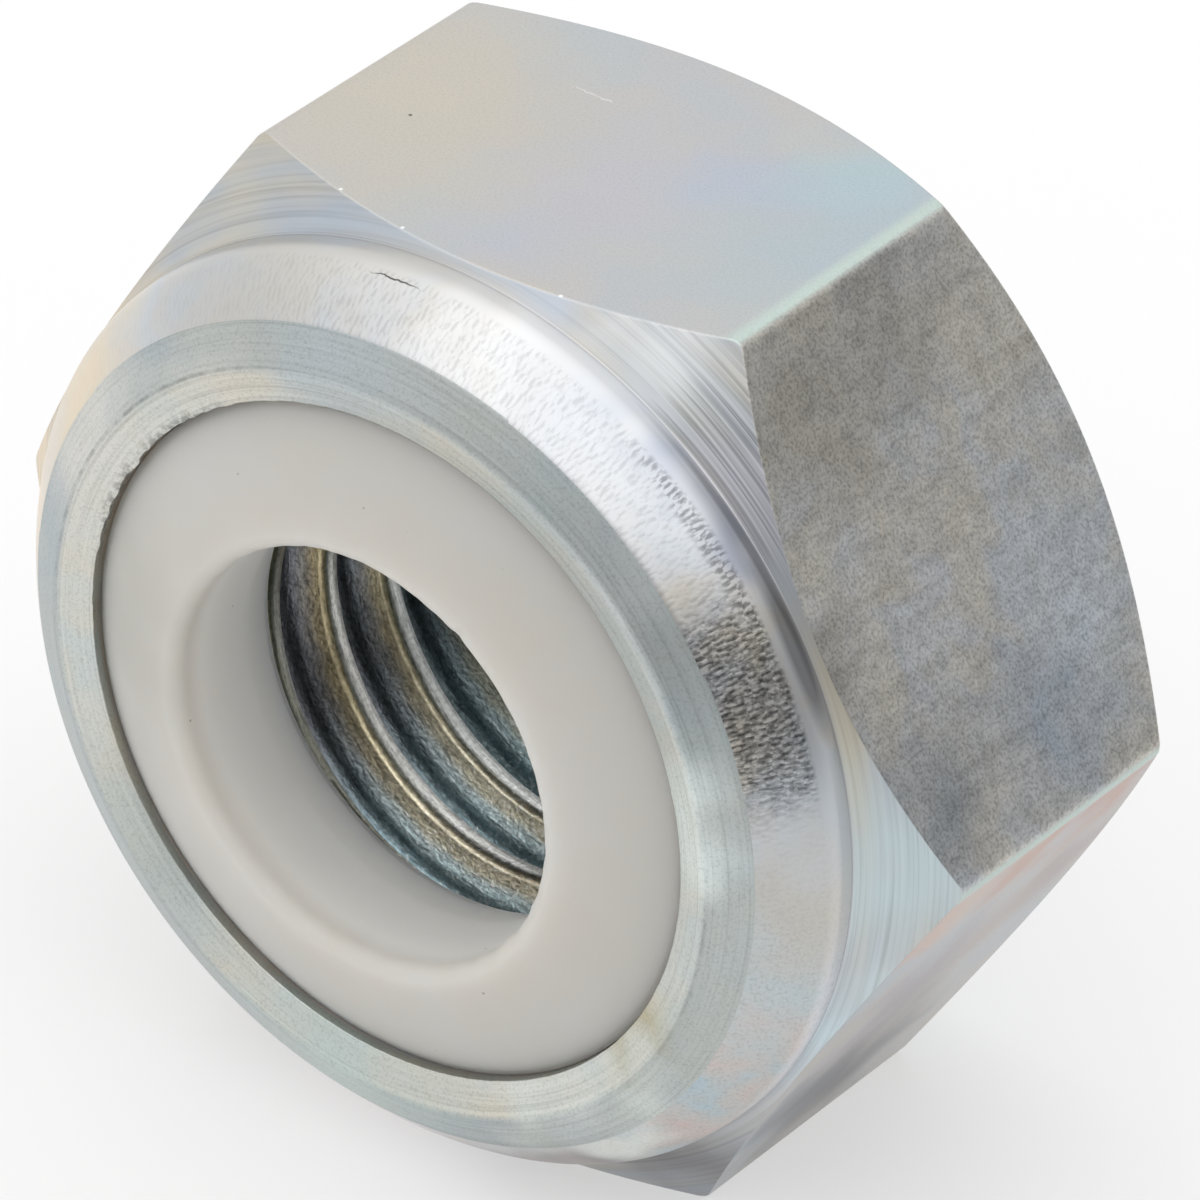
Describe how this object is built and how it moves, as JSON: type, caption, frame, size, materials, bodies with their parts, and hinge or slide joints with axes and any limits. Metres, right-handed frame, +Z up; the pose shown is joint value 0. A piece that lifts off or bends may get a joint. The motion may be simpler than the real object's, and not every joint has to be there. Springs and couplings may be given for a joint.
{
  "type": "prevailing-torque hexagon nut",
  "caption": "Zinc-plated steel hexagon lock nut, right-hand metric thread, with a pale plastic locking ring held in a rolled collar.",
  "frame": {"origin": "on the surface that the nut lies on, under the middle of its box", "axes": "+Z up, square to the flat that it lies on; +Y along the thread axis, out of the bearing face; the locking ring faces -Y; +X across two corners"},
  "size_m": [0.0196, 0.0104, 0.017],
  "materials": {
    "zinc_plated_steel": "bright zinc plate with a faint iridescent passivation, turned and rolled marks",
    "pale_nylon": "moulded, off-white, satin"
  },
  "bodies": {
    "root": {"nut_body": "zinc_plated_steel", "locking_ring": "pale_nylon"}
  },
  "joints": []
}
